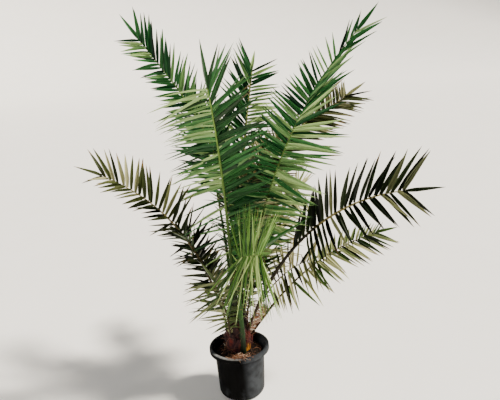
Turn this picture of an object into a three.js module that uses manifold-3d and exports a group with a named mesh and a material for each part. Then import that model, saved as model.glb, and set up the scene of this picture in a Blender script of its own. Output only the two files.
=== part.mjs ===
// Young Canary Island date palm in a round plastic nursery pot.
// Millimetres, +Z up, origin at the middle of the pot's flat underside.
// Headings are in degrees about +Z: 0 is +X, 90 is +Y.

import * as THREE from 'three';
import { mergeVertices } from 'three/addons/utils/BufferGeometryUtils.js';
import Module from 'manifold-3d';

const wasm = await Module();
wasm.setup();

// Pot: a tapered tub with a rounded foot and a thick rolled rim
const POT_HEIGHT = 245;
const POT_FOOT_RADIUS = 84;
const POT_CORNER = 30;
const POT_WALL_FOOT = 107;
const POT_WALL_TOP = 116;
const POT_WALL = 4;
const RIM_RADIUS = 140;
const RIM_DROP = 24;
const RIM_ROLL = 6;
const RIM_LIP = 13;
const POT_SIDES = 36;
const CURVE_STEPS = 5;

// Soil fills the pot to a little below the rim
const SOIL_DEPTH = 37;
const SOIL_LEVEL = POT_HEIGHT - SOIL_DEPTH;

// Trunk: a bulb of old leaf bases, heights measured from the soil
const TRUNK_HEIGHT = 184;
const TRUNK_FOOT = 52;
const TRUNK_BULGE = 63;
const BULGE_SHARE = 0.25;
const TRUNK_MIDDLE = 54;
const MIDDLE_SHARE = 0.5;
const TRUNK_SHOULDER = 42;
const SHOULDER_SHARE = 0.88;
const TRUNK_CROWN = 36;
const TRUNK_SIDES = 24;

// Old leaf bases: they climb the trunk one turn apart, from a low and wide ring to a high and narrow one
const BOOT_COUNT = 18;
const BOOT_TURN = 137.5;
const BOOT_CLIMB = [0.24, 0.74];
const BOOT_REACH = [52, 44];
const BOOT_LENGTH = 78;
const BOOT_WIDTH = 58;
const BOOT_THICKNESS = 20;
const BOOT_LEAN = 16;
const BOOT_POINT = 0.3;

// Space kept between pieces that touch on the plant, and the distance at which points are one
const SEAT_GAP = 0.3;
const WELD = 1e-3;

// Fronds: the rib bends by this power of the way along it, or over the two shares of its knee
const BEND_POWER = 1.6;
const ROLL_SHARE = 0.4;
const BARE_SHARE = 0.14;
const BARE_LEAST = 80;
const PETIOLE_STEP = 40;
const FULL_LENGTH = 1400;
const GIRTH_LEAST = 0.55;

// Rib section at the foot, at the first leaflets and at the tip, for a frond of full length
const RIB_WIDTH = [21, 13, 4];
const RIB_DEPTH = [12, 9, 3.5];

// Leaflets stand in pairs, lean to the tip and are widest before their middle
const PAIR_SPACING = 38;
const LEAFLET_ROOT = 11;
const LEAFLET_WIDTH = 27;
const LEAFLET_KEEL = 2.2;
const LEAFLET_FOLD = 1.6;
const LEAFLET_WIDEST = 0.42;
const LEAFLET_DROOP = 0.05;
const LEAN_POWER = 2.2;
const ANGLE_SPREAD = 4;
const VEE_SPREAD = 8;
const THIN_STEP = 3;
const SHORTEST_SHARE = 0.35;
const FULL_FROM = 0.4;
const TAPER_FROM = 0.3;
const END_LEAFLET_SHARE = 0.85;

// A leaflet that would touch something is turned, then shortened, then left off
const LEAFLET_CLEARANCE = 1;
const OTHER_PLACES = [
  { turn: 0, vee: 0, share: 1 },
  { turn: 0, vee: 9, share: 1 },
  { turn: 0, vee: -9, share: 1 },
  { turn: -7, vee: 5, share: 1 },
  { turn: 7, vee: -14, share: 1 },
  { turn: 0, vee: 16, share: 0.95 },
  { turn: 0, vee: 0, share: 0.8 },
  { turn: 0, vee: 10, share: 0.75 },
  { turn: 0, vee: -10, share: 0.65 },
];

// Each frond: heading, lift of its foot above level, arch from foot to tip, rib length, roll of the blade,
// vee of the leaflets above the blade, longest leaflet, share of that left at the tip, the foot's distance
// from the axis and its height, and tint. Left and right, seen along the rib from above the blade, have the
// lean of the first and the last leaflet, and some a power of that change or two shares that it turns over,
// a share of the length, a vee of their own or a thin share of the blade. Some fronds have a bare share of
// the rib, a knee, an end leaflet of their own, or leaflets that are full or taper at another share.
const FRONDS = [
  {
    name: 'frond_front_tall', heading: -97, lift: 91, arch: 33, length: 1135, bare: 0.25, end: 170,
    full: 0.6, roll: 0, vee: 10, leaf: 230, tip: 1, foot: [28, 358], tint: 'green',
    left: { lean: [72, 22], power: 4 }, right: { lean: [106, 92], power: 5, thin: 0.45 },
  },
  {
    name: 'frond_right_high', heading: -15, lift: 79, arch: 32, length: 1400, full: 0.35, taper: 0.6,
    roll: 82, vee: 16, leaf: 248, tip: 0.4, foot: [26, 358], tint: 'green',
    left: { lean: [95, 22], power: 3, share: 0.7 }, right: { lean: [72, 15], turn: [0.59, 0.68] },
  },
  {
    name: 'frond_left_high', heading: 165, lift: 95.8, arch: 41.8, length: 1368, knee: [0.16, 0.93],
    end: 137, roll: -75, vee: 15, leaf: 150, tip: 1, foot: [28, 363], tint: 'green',
    left: { lean: [85, 50], power: 1, share: 0.7, thin: 0.36 },
    right: { lean: [70, 33], power: 0.6, share: 1.05 },
  },
  {
    name: 'frond_middle_tall', heading: 54, lift: 84, arch: 14, length: 1145, end: 95,
    roll: 40, vee: 15, leaf: 190, tip: 0.9, foot: [26, 363], tint: 'green',
    left: { lean: [58, 22], thin: 0.45 }, right: { lean: [90, 70], share: 0.8 },
  },
  {
    name: 'frond_left_low', heading: -170, lift: 79, arch: 52, length: 955, bare: 0.3, full: 0.5,
    roll: -58, vee: 28, leaf: 195, tip: 0.72, foot: [42, 321], tint: 'olive',
    left: { lean: [60, 42], share: 0.75, thin: 0.5 }, right: { lean: [74, 36], thin: 0.45 },
  },
  {
    name: 'frond_right_low', heading: -18, lift: 67.5, arch: 61, length: 1040, bare: 0.42, end: 150,
    full: 0.3, roll: 65, vee: 22, leaf: 205, tip: 1, foot: [45, 312], tint: 'dark',
    left: { lean: [42, 54], power: 1 }, right: { lean: [126, 46], power: 1, share: 0.85 },
  },
  {
    name: 'frond_front_bow', heading: -71.5, lift: 90, arch: 69, length: 818, knee: [0.424, 0.707], bare: 0.603,
    end: 120, full: 0.1, roll: 85, vee: 0, leaf: 250, tip: 0.9, foot: [60, 223], tint: 'green',
    left: { lean: [88, 70], share: 0.85, vee: [8, -25] }, right: { lean: [95, 76], vee: [52, -14] },
  },
  {
    name: 'frond_right_back', heading: 23, lift: 92, arch: 67.5, length: 1296, knee: [0.21, 0.83], end: 120,
    roll: 55, vee: 15, leaf: 225, tip: 0.6, foot: [41, 343], tint: 'olive',
    left: { lean: [74, 60], share: 0.6, thin: 0.4 }, right: { lean: [72, 42], power: 1 },
  },
  {
    name: 'frond_right_under', heading: 6, lift: 52.5, arch: 43.4, length: 780, bare: 0.28, full: 0.6,
    roll: 60, vee: 20, leaf: 165, tip: 0.75, foot: [50, 276], tint: 'olive',
    left: { lean: [70, 45], share: 0.55, thin: 0.4 }, right: { lean: [100, 38], power: 1.2, thin: 0.4 },
  },
  {
    name: 'frond_right_mid', heading: 42, lift: 74, arch: 48, length: 728,
    roll: 45, vee: 20, leaf: 190, tip: 0.8, foot: [46, 312], tint: 'olive',
    left: { lean: [78, 40] }, right: { lean: [45, 88], power: 1.2 },
  },
  {
    name: 'frond_back_tall', heading: 107, lift: 82, arch: 44, length: 1090, bare: 0.56,
    roll: 0, vee: 20, leaf: 200, tip: 0.7, foot: [27, 360], tint: 'green',
    left: { lean: [78, 40] }, right: { lean: [78, 40] },
  },
  {
    name: 'frond_back_low', heading: 90, lift: 62, arch: 54, length: 880, bare: 0.3,
    roll: 10, vee: 20, leaf: 160, tip: 0.7, foot: [48, 300], tint: 'dark',
    left: { lean: [78, 40], thin: 0.6 }, right: { lean: [78, 40] },
  },
  {
    name: 'frond_back_right', heading: 66, lift: 70, arch: 50, length: 905,
    roll: 20, vee: 20, leaf: 200, tip: 0.7, foot: [46, 312], tint: 'green',
    left: { lean: [78, 40], thin: 0.55 }, right: { lean: [78, 40] },
  },
  {
    name: 'frond_back_left', heading: 130, lift: 66, arch: 50, length: 540,
    roll: -20, vee: 20, leaf: 150, tip: 0.8, foot: [45, 318], tint: 'dark',
    left: { lean: [78, 40] }, right: { lean: [78, 40] },
  },
  {
    name: 'frond_left_under', heading: -125, lift: 84, arch: 24, length: 360, bare: 0.2,
    roll: 30, vee: 5, leaf: 175, tip: 0.9, foot: [52, 272], tint: 'olive',
    left: { lean: [80, 50], share: 0.7 }, right: { lean: [108, 88], power: 1 },
  },
  {
    name: 'frond_right_dry', heading: 8, lift: 67, arch: 62, length: 500, bare: 0.45,
    roll: 60, vee: 15, leaf: 160, tip: 0.9, foot: [48, 302], tint: 'dry',
    left: { lean: [60, 40], share: 0.7 }, right: { lean: [115, 80] },
  },
];

// Colours and finish of each sub-part
const FINISH = {
  pot: { color: '#26282b', roughness: 0.5, metalness: 0 },
  soil: { color: '#1f1712', roughness: 0.95, metalness: 0 },
  trunk: { color: '#4a2220', roughness: 0.85, metalness: 0 },
  green: { color: '#5d7a45', roughness: 0.55, metalness: 0 },
  dark: { color: '#36492f', roughness: 0.55, metalness: 0 },
  olive: { color: '#6c7048', roughness: 0.65, metalness: 0 },
  dry: { color: '#8d7650', roughness: 0.8, metalness: 0 },
};

const SERIES_START = 20417;
const SERIES_STEP = 16807;
const SERIES_END = 2147483647;
let state = SERIES_START;

// Next number of a fixed series, from -1 to 1
function spread() {
  state = (state * SERIES_STEP) % SERIES_END;
  return (2 * state) / SERIES_END - 1;
}

const radians = THREE.MathUtils.degToRad;
const blend = THREE.MathUtils.lerp;

const group = new THREE.Group();

// Adds one sub-part with a material of its own
function addPart(name, geometry, finish) {
  const mesh = new THREE.Mesh(geometry, new THREE.MeshStandardMaterial(finish));
  mesh.name = name;
  group.add(mesh);
}

// Closed surface of revolution about Z from a path of radius and height
function turned(path, sides) {
  const geometry = new THREE.LatheGeometry(path.getPoints(CURVE_STEPS), sides);
  geometry.rotateX(Math.PI / 2);
  return geometry;
}

// Outer foot, wall and rolled rim, then back down the inside
function potProfile() {
  const underRim = POT_HEIGHT - RIM_DROP;
  const path = new THREE.Path();
  path.moveTo(0, 0);
  path.lineTo(POT_FOOT_RADIUS, 0);
  path.quadraticCurveTo(POT_WALL_FOOT, 0, POT_WALL_FOOT, POT_CORNER);
  path.lineTo(POT_WALL_TOP, underRim);
  path.lineTo(RIM_RADIUS - RIM_ROLL / 2, underRim);
  path.lineTo(RIM_RADIUS, underRim + RIM_ROLL / 2);
  path.lineTo(RIM_RADIUS, POT_HEIGHT - RIM_ROLL);
  path.quadraticCurveTo(RIM_RADIUS, POT_HEIGHT, RIM_RADIUS - RIM_ROLL, POT_HEIGHT);
  path.lineTo(RIM_RADIUS - RIM_LIP, POT_HEIGHT);
  path.lineTo(POT_WALL_TOP - POT_WALL, underRim);
  path.lineTo(POT_WALL_FOOT - POT_WALL, POT_CORNER);
  path.quadraticCurveTo(POT_WALL_FOOT - POT_WALL, POT_WALL, POT_FOOT_RADIUS, POT_WALL);
  path.lineTo(0, POT_WALL);
  return path;
}

// Soil follows the inside of the pot, one gap away from it
function soilProfile() {
  const footWall = POT_WALL_FOOT - POT_WALL - SEAT_GAP;
  const slope = (POT_WALL_TOP - POT_WALL_FOOT) / (POT_HEIGHT - RIM_DROP - POT_CORNER);
  const floor = POT_WALL + SEAT_GAP;
  const path = new THREE.Path();
  path.moveTo(0, floor);
  path.lineTo(POT_FOOT_RADIUS - SEAT_GAP, floor);
  path.quadraticCurveTo(footWall, floor, footWall, POT_CORNER);
  path.lineTo(footWall + slope * (SOIL_LEVEL - POT_CORNER), SOIL_LEVEL);
  path.lineTo(0, SOIL_LEVEL);
  return path;
}

// Swelling bulb that narrows to a blunt crown
function trunkProfile() {
  const foot = SOIL_LEVEL + SEAT_GAP;
  const path = new THREE.Path();
  path.moveTo(0, foot);
  path.lineTo(TRUNK_FOOT, foot);
  const bulge = foot + BULGE_SHARE * TRUNK_HEIGHT;
  const middle = foot + MIDDLE_SHARE * TRUNK_HEIGHT;
  path.quadraticCurveTo(TRUNK_BULGE, bulge, TRUNK_MIDDLE, middle);
  path.lineTo(TRUNK_SHOULDER, foot + SHOULDER_SHARE * TRUNK_HEIGHT);
  path.quadraticCurveTo(TRUNK_CROWN, foot + TRUNK_HEIGHT, 0, foot + TRUNK_HEIGHT);
  return path;
}

// Solid for joins and cuts from a closed geometry
function solidOf(geometry) {
  const bare = geometry.clone();
  bare.deleteAttribute('normal');
  bare.deleteAttribute('uv');
  const merged = mergeVertices(bare, WELD);
  const mesh = new wasm.Mesh({
    numProp: 3,
    vertProperties: new Float32Array(merged.attributes.position.array),
    triVerts: new Uint32Array(merged.index.array),
  });
  mesh.merge();
  return new wasm.Manifold(mesh);
}

// Geometry from a solid
function geometryOf(solid) {
  const mesh = solid.getMesh();
  const geometry = new THREE.BufferGeometry();
  geometry.setAttribute('position', new THREE.Float32BufferAttribute(mesh.vertProperties, 3));
  geometry.setIndex(new THREE.Uint32BufferAttribute(mesh.triVerts, 1));
  geometry.computeVertexNormals();
  return geometry;
}

// One old leaf base: a flat four-sided wedge that leans out of the trunk and points up
function bootGeometry(order) {
  const geometry = new THREE.CylinderGeometry(BOOT_POINT, 1, 1, 4);
  geometry.rotateX(Math.PI / 2);
  geometry.rotateZ(Math.PI / 4);
  geometry.scale(BOOT_THICKNESS / Math.SQRT2, BOOT_WIDTH / Math.SQRT2, BOOT_LENGTH);
  geometry.rotateY(radians(BOOT_LEAN));
  const climb = (order + 0.5) / BOOT_COUNT;
  const height = SOIL_LEVEL + blend(...BOOT_CLIMB, climb) * TRUNK_HEIGHT;
  const out = blend(...BOOT_REACH, climb);
  geometry.translate(out, 0, height);
  geometry.rotateZ(radians(order * BOOT_TURN));
  return geometry;
}

// How much of a change is done at a share of the way: smoothly over two shares, or by a power
function changed(share, over, power) {
  return over ? THREE.MathUtils.smoothstep(share, ...over) : share ** power;
}

// Direction of the rib at a share of its length
function ribDirection(frond, share) {
  const rise = radians(frond.lift - frond.arch * changed(share, frond.knee, BEND_POWER));
  const way = radians(frond.heading);
  const level = Math.cos(rise);
  return new THREE.Vector3(level * Math.cos(way), level * Math.sin(way), Math.sin(rise));
}

// Size of the rib's section, from three values at foot, first leaflets and tip
function ribSize(sizes, share, bareShare, girth) {
  if (share < bareShare) {
    return girth * blend(sizes[0], sizes[1], share / bareShare);
  }
  return girth * blend(sizes[1], sizes[2], (share - bareShare) / (1 - bareShare));
}

// Stations along the rib: a bare stalk, then two for each pair of leaflets
function ribStations(frond) {
  const bare = Math.max((frond.bare ?? BARE_SHARE) * frond.length, BARE_LEAST);
  const steps = Math.ceil(bare / PETIOLE_STEP);
  const pairs = Math.round((frond.length - bare) / PAIR_SPACING);
  const pitch = (frond.length - bare) / pairs;
  const places = [];
  for (let step = 0; step < steps; step += 1) {
    places.push({ way: (bare * step) / steps });
  }
  for (let pair = 0; pair < pairs; pair += 1) {
    const middle = bare + (pair + 0.5) * pitch;
    places.push({ way: middle - LEAFLET_ROOT / 2, pair: (pair + 0.5) / pairs, order: pair });
    places.push({ way: middle + LEAFLET_ROOT / 2 });
  }
  places.push({ way: frond.length });

  const heading = radians(frond.heading);
  const [out, height] = frond.foot;
  const at = new THREE.Vector3(out * Math.cos(heading), out * Math.sin(heading), height);
  const girth = blend(GIRTH_LEAST, 1, frond.length / FULL_LENGTH);
  let last = 0;
  return places.map(({ way, pair, order }) => {
    const share = way / frond.length;
    at.addScaledVector(ribDirection(frond, (last + way) / 2 / frond.length), way - last);
    last = way;
    const along = ribDirection(frond, share);
    const roll = radians(frond.roll * Math.min(1, share / ROLL_SHARE));
    const level = new THREE.Vector3(-Math.sin(heading), Math.cos(heading), 0);
    const upper = along.clone().cross(level);
    const side = level.clone().multiplyScalar(Math.cos(roll)).addScaledVector(upper, Math.sin(roll));
    const up = upper.multiplyScalar(Math.cos(roll)).addScaledVector(level, -Math.sin(roll));
    const width = ribSize(RIB_WIDTH, share, bare / frond.length, girth);
    const depth = ribSize(RIB_DEPTH, share, bare / frond.length, girth);
    return { at: at.clone(), along, side, up, width, depth, pair, order };
  });
}

// Four corners of the rib at a station: left top, left bottom, right bottom, right top
function ribCorners(station, grow) {
  const { at, side, up } = station;
  const half = station.width / 2 + grow;
  const rise = station.depth / 2 + grow;
  return [[half, rise], [half, -rise], [-half, -rise], [-half, rise]].map(
    ([across, above]) => at.clone().addScaledVector(side, across).addScaledVector(up, above),
  );
}

// Two triangles of a four-cornered face
function quad(a, b, c, d) {
  return [[a, b, c], [a, c, d]];
}

// Faces between two rings of four corners, without the sides that are left open
function ribFaces(ring, next, open) {
  const faces = [];
  for (let corner = 0; corner < 4; corner += 1) {
    const beside = (corner + 1) % 4;
    if (!open.includes(corner)) {
      faces.push(...quad(ring[corner], next[corner], next[beside], ring[beside]));
    }
  }
  return faces;
}

// Blade of a leaflet that grows out of four root corners: two edges, a keel and a point.
// The root goes top back, top fore, bottom fore, bottom back; a mirrored one turns its faces.
function leafletFaces(root, start, way, across, length, grow, mirrored) {
  const over = across.clone().cross(way).multiplyScalar(mirrored ? -1 : 1).normalize();
  const middle = start.clone().addScaledVector(way, LEAFLET_WIDEST * length);
  const edge = middle.clone().addScaledVector(over, LEAFLET_FOLD + grow);
  const fore = edge.clone().addScaledVector(across, LEAFLET_WIDTH / 2 + grow);
  const back = edge.clone().addScaledVector(across, -LEAFLET_WIDTH / 2 - grow);
  const keel = middle.clone().addScaledVector(over, -LEAFLET_KEEL - grow);
  const point = start.clone().addScaledVector(way, length + grow);
  point.z -= LEAFLET_DROOP * length;
  const [topBack, topFore, bottomFore, bottomBack] = root;
  const faces = [
    ...quad(topBack, topFore, fore, back),
    ...quad(topFore, bottomFore, keel, fore),
    ...quad(topBack, back, keel, bottomBack),
    [bottomBack, keel, bottomFore],
    [back, fore, point],
    [fore, keel, point],
    [keel, back, point],
  ];
  return mirrored ? faces.map(([a, b, c]) => [a, c, b]) : faces;
}

// Faces with their box and edges, ready to be tested against others
function obstacle(faces, owner) {
  const box = new THREE.Box3().setFromPoints(faces.flat());
  const edges = new Map();
  faces.forEach((face) => {
    face.forEach((from, corner) => {
      const to = face[(corner + 1) % 3];
      const ends = [from, to].map((point) => point.toArray().map((value) => value.toFixed(3)).join());
      edges.set(ends.sort().join(), [from, to]);
    });
  });
  return { box, faces, edges: [...edges.values()], owner };
}

const ray = new THREE.Ray();
const hit = new THREE.Vector3();

// True where an edge of one shape passes through a face of another
function pierces(edges, faces) {
  return edges.some(([from, to]) => {
    const reach = from.distanceTo(to);
    ray.origin.copy(from);
    ray.direction.subVectors(to, from).divideScalar(reach);
    return faces.some(([a, b, c]) => {
      const struck = ray.intersectTriangle(a, b, c, false, hit);
      return struck !== null && hit.distanceTo(from) < reach;
    });
  });
}

// True where two shapes meet
function meet(one, other) {
  if (!one.box.intersectsBox(other.box)) {
    return false;
  }
  return pierces(one.edges, other.faces) || pierces(other.edges, one.faces);
}

// Faces of a finished geometry as lists of points
function facesOf(geometry) {
  const loose = geometry.index ? geometry.toNonIndexed() : geometry;
  const position = loose.attributes.position;
  const faces = [];
  for (let first = 0; first < position.count; first += 3) {
    faces.push([0, 1, 2].map((corner) => new THREE.Vector3().fromBufferAttribute(position, first + corner)));
  }
  return faces;
}

// Length of a leaflet at a share of the blade
function leafletLength(frond, share) {
  const growth = Math.min(1, share / (frond.full ?? FULL_FROM));
  const rise = blend(SHORTEST_SHARE, 1, Math.sin((Math.PI / 2) * growth));
  const taperFrom = frond.taper ?? TAPER_FROM;
  const taper = (1 - frond.tip) * (Math.max(0, share - taperFrom) / (1 - taperFrom));
  return frond.leaf * rise * (1 - taper);
}

// Side of a frond by its sign
function sideOf(frond, side) {
  return side > 0 ? frond.left : frond.right;
}

// True where the thin part of a side has no leaflet
function inGap(frond, station, side) {
  return station.pair < (sideOf(frond, side).thin ?? 0) && station.order % THIN_STEP > 0;
}

// First place that a leaflet can take without touching anything, or nothing
function placeLeaflet(frond, station, next, side, obstacles) {
  const ring = ribCorners(station, 0);
  const ahead = ribCorners(next, 0);
  const root = side > 0 ? [ring[0], ahead[0], ahead[1], ring[1]] : [ring[3], ahead[3], ahead[2], ring[2]];
  const start = root[0].clone().add(root[2]).multiplyScalar(0.5);
  const rule = sideOf(frond, side);
  const change = changed(station.pair, rule.turn, rule.power ?? LEAN_POWER);
  const lean = blend(...rule.lean, change) + ANGLE_SPREAD * spread();
  const vee = blend(...(rule.vee ?? [frond.vee, frond.vee]), station.pair) + VEE_SPREAD * spread();
  const length = (rule.share ?? 1) * leafletLength(frond, station.pair);
  for (const place of OTHER_PLACES) {
    const angle = radians(lean + place.turn);
    const lift = radians(vee + place.vee);
    const way = station.along.clone().multiplyScalar(Math.cos(angle))
      .addScaledVector(station.side, side * Math.sin(angle) * Math.cos(lift))
      .addScaledVector(station.up, Math.sin(angle) * Math.sin(lift));
    const across = station.along.clone().addScaledVector(way, -way.dot(station.along)).normalize();
    const build = (grow) => leafletFaces(root, start, way, across, place.share * length, grow, side < 0);
    const trial = obstacle(build(LEAFLET_CLEARANCE), frond);
    const blocked = obstacles.some((other) => other.owner !== frond && meet(trial, other));
    const crowded = obstacles.some((other) => other.owner === frond && other.leaflet && meet(trial, other));
    if (!blocked && !crowded) {
      return build(0);
    }
  }
  return null;
}

// Leaflet that carries on from the end of the rib
function endLeaflet(frond, station) {
  const [leftTop, leftBottom, rightBottom, rightTop] = ribCorners(station, 0);
  const root = [rightTop, leftTop, leftBottom, rightBottom];
  const length = frond.end ?? END_LEAFLET_SHARE * frond.leaf * frond.tip;
  return leafletFaces(root, station.at, station.along, station.side, length, 0, true);
}

// Closed mesh from faces given as lists of points
function geometryFrom(faces) {
  const points = faces.flat().flatMap((point) => point.toArray());
  const geometry = new THREE.BufferGeometry();
  geometry.setAttribute('position', new THREE.Float32BufferAttribute(points, 3));
  const merged = mergeVertices(geometry, WELD);
  merged.computeVertexNormals();
  return merged;
}

// Sleeve round the stalk of a frond, one gap wider all round
function stalkSleeve(stations) {
  const stalk = stations.slice(0, stations.findIndex((station) => station.pair !== undefined) + 1);
  const rings = stalk.map((station) => ribCorners(station, SEAT_GAP));
  rings[0].forEach((corner) => corner.addScaledVector(stalk[0].along, -SEAT_GAP));
  const faces = [];
  for (let order = 0; order + 1 < rings.length; order += 1) {
    faces.push(...ribFaces(rings[order], rings[order + 1], []));
  }
  const end = rings[rings.length - 1];
  faces.push(...quad(...rings[0]), ...quad(end[3], end[2], end[1], end[0]));
  return geometryFrom(faces);
}

// Pot and soil
const pot = turned(potProfile(), POT_SIDES);
const soil = turned(soilProfile(), POT_SIDES);
addPart('pot', pot, FINISH.pot);
addPart('soil', soil, FINISH.soil);

// Trunk: bulb and leaf bases in one, cut level at the soil, with a socket for every stalk
const ribs = FRONDS.map(ribStations);
let trunkSolid = solidOf(turned(trunkProfile(), TRUNK_SIDES));
for (let order = 0; order < BOOT_COUNT; order += 1) {
  trunkSolid = trunkSolid.add(solidOf(bootGeometry(order)));
}
ribs.forEach((stations) => {
  trunkSolid = trunkSolid.subtract(solidOf(stalkSleeve(stations)));
});
const trunk = geometryOf(trunkSolid);
addPart('trunk', trunk, FINISH.trunk);

// Everything a leaflet has to keep clear of
const obstacles = [pot, soil, trunk].map((geometry) => obstacle(facesOf(geometry), null));
ribs.forEach((stations, order) => {
  for (let index = 0; index + 1 < stations.length; index += 1) {
    const faces = ribFaces(ribCorners(stations[index], 0), ribCorners(stations[index + 1], 0), []);
    obstacles.push(obstacle(faces, FRONDS[order]));
  }
  obstacles.push(obstacle(endLeaflet(FRONDS[order], stations[stations.length - 1]), FRONDS[order]));
});

// One frond: rib, leaflets on both sides and the leaflet at its end
function frondGeometry(frond, stations) {
  const faces = [...quad(...ribCorners(stations[0], 0))];
  for (let index = 0; index + 1 < stations.length; index += 1) {
    const station = stations[index];
    const next = stations[index + 1];
    const open = [];
    if (station.pair !== undefined) {
      [1, -1].forEach((side) => {
        const gap = inGap(frond, station, side);
        const blade = gap ? null : placeLeaflet(frond, station, next, side, obstacles);
        if (blade) {
          faces.push(...blade);
          obstacles.push({ ...obstacle(blade, frond), leaflet: true });
          open.push(side > 0 ? 0 : 2);
        }
      });
    }
    faces.push(...ribFaces(ribCorners(station, 0), ribCorners(next, 0), open));
  }
  faces.push(...endLeaflet(frond, stations[stations.length - 1]));
  return geometryFrom(faces);
}

FRONDS.forEach((frond, order) => {
  addPart(frond.name, frondGeometry(frond, ribs[order]), FINISH[frond.tint]);
});

export default group;
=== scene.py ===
import bpy
import numpy as np
from mathutils import Matrix


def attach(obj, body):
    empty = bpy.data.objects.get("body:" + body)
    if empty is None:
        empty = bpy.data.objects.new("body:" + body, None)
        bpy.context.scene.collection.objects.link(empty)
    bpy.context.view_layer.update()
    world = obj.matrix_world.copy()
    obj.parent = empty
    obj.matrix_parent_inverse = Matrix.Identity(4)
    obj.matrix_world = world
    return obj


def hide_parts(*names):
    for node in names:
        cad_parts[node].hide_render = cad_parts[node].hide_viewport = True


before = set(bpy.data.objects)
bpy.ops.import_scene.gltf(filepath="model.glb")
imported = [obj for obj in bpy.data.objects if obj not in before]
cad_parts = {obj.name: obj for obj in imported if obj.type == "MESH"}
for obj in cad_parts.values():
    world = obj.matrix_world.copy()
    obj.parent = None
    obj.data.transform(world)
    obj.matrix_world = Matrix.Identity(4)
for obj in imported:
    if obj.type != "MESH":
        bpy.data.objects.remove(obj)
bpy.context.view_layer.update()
print("frame loaded:", len(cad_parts), "nodes")


# Helpers for numbers, meshes and shader trees

# sRGB hex to a linear colour with alpha: the usual two-part curve on each channel
def linear(hexColour):
    part = np.array([int(hexColour[i:i + 2], 16) for i in (1, 3, 5)]) / 255
    low, high = part / 12.92, ((part + 0.055) / 1.055) ** 2.4
    return (*np.where(part <= 0.04045, low, high).tolist(), 1.0)


# Each row of an array divided by its own length
def unit(vectors):
    return vectors / np.linalg.norm(vectors, axis=-1, keepdims=True)


# 0 before low, 1 after high and a smooth cubic step between them
def smoothStep(value, low, high):
    share = np.clip((value - low) / (high - low), 0, 1)
    return share * share * (3 - 2 * share)


# Straight run between two ends by a share of the way
def between(ends, share):
    first, last = ends
    return first + (last - first) * share


# Bumpy field over points: a sum of cosine waves with random directions and phases, from about -1 to 1
def waves(points, size, count, rng):
    ways = unit(rng.normal(size=(count, points.shape[-1])))
    ways = ways * rng.uniform(0.6, 1.6, (count, 1)) * 2 * np.pi / size
    phases = rng.uniform(0, 2 * np.pi, count)
    return np.cos(points @ ways.T + phases).sum(-1) / np.sqrt(count / 2) / 2


# Makes one piece: mesh, material, body and the CAD nodes it stands for
def addPiece(name, shape, material, nodes, sharp=None):
    mesh = bpy.data.meshes.new(name)
    mesh.from_pydata(shape["points"], [], [row for rows in shape["faces"] for row in rows.tolist()])
    for key, (domain, values) in shape.get("marks", {}).items():
        mark = mesh.attributes.new(key, "FLOAT", domain)
        mark.data.foreach_set("value", np.ascontiguousarray(values, np.float32))
    mesh.polygons.foreach_set("use_smooth", np.ones(len(mesh.polygons), bool))
    if sharp:
        mesh.set_sharp_from_angle(angle=np.radians(sharp))
    mesh.materials.append(material)
    mesh.update()
    piece = bpy.data.objects.new(name, mesh)
    bpy.context.scene.collection.objects.link(piece)
    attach(piece, "root")
    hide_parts(*nodes)


# Puts several shapes into one, with their faces counted on
def joined(shapes):
    first = np.cumsum([0] + [len(shape["points"]) for shape in shapes])
    faces = [rows + start for shape, start in zip(shapes, first) for rows in shape["faces"]]
    return {"points": np.vstack([shape["points"] for shape in shapes]), "faces": faces}


# Numbers of the points of rings (tubes x rings x corners), of those next to them, and quads between rings
def ringGrid(count, rows, sides):
    grid = np.arange(count * rows * sides).reshape(count, rows, sides)
    beside = np.roll(grid, -1, 2)
    quads = np.stack([grid[:, :-1], beside[:, :-1], beside[:, 1:], grid[:, 1:]], -1).reshape(-1, 4)
    return grid, beside, quads


# Closed tubes from such rings: the quads, and a fan to the middle of the first and of the last ring
def tubes(rings):
    count, rows, sides = rings.shape[:3]
    grid, beside, quads = ringGrid(count, rows, sides)
    poles = grid.size + np.arange(2 * count).reshape(2, count, 1) + np.zeros((1, 1, sides), int)
    foot = np.stack([beside[:, 0], grid[:, 0], poles[0]], -1).reshape(-1, 3)
    head = np.stack([grid[:, -1], beside[:, -1], poles[1]], -1).reshape(-1, 3)
    points = np.vstack([rings.reshape(-1, 3), rings[:, 0].mean(1), rings[:, -1].mean(1)])
    return {"points": points, "faces": [quads, foot, head]}


# Rings of one solid of revolution about Z: a profile of radius and height turned through all headings
def turned(profile, sides):
    heading = np.linspace(0, 2 * np.pi, sides, endpoint=False)
    radius, height = profile[:, 0, None], profile[:, 1, None]
    rings = np.stack([radius * np.cos(heading), radius * np.sin(heading), height + 0 * heading], -1)
    return rings[None]


# Sets a node's inputs by name or in order: a socket, or a node by its first one, is linked, a value is set
def plug(tree, node, inputs):
    for key, value in inputs.items() if isinstance(inputs, dict) else enumerate(inputs):
        source = value.outputs[0] if isinstance(value, bpy.types.Node) else value
        if isinstance(source, bpy.types.NodeSocket):
            tree.links.new(source, node.inputs[key])
        else:
            node.inputs[key].default_value = source


# Adds a node to a tree with its settings and inputs, and with the stops of its ramp if it has one
def addNode(tree, kind, inputs=(), stops=(), **settings):
    node = tree.nodes.new("ShaderNode" + kind)
    for key, value in settings.items():
        setattr(node, key, value)
    plug(tree, node, inputs)
    for order, (place, colour) in enumerate(stops):
        element = node.color_ramp.elements[order] if order < 2 else node.color_ramp.elements.new(place)
        element.position = place
        element.color = linear(colour)
    return node


# Scale of a noise on Object coordinates whose blots are this many millimetres across
def noiseScale(millimetres):
    return 1000 / millimetres


# Empty material and its principled shader, with the values that are the same all over the surface
def startMaterial(name, fixed):
    material = bpy.data.materials.new(name)
    material.use_nodes = True
    tree = material.node_tree
    shader = tree.nodes["Principled BSDF"]
    plug(tree, shader, fixed)
    return material, tree, shader


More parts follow.
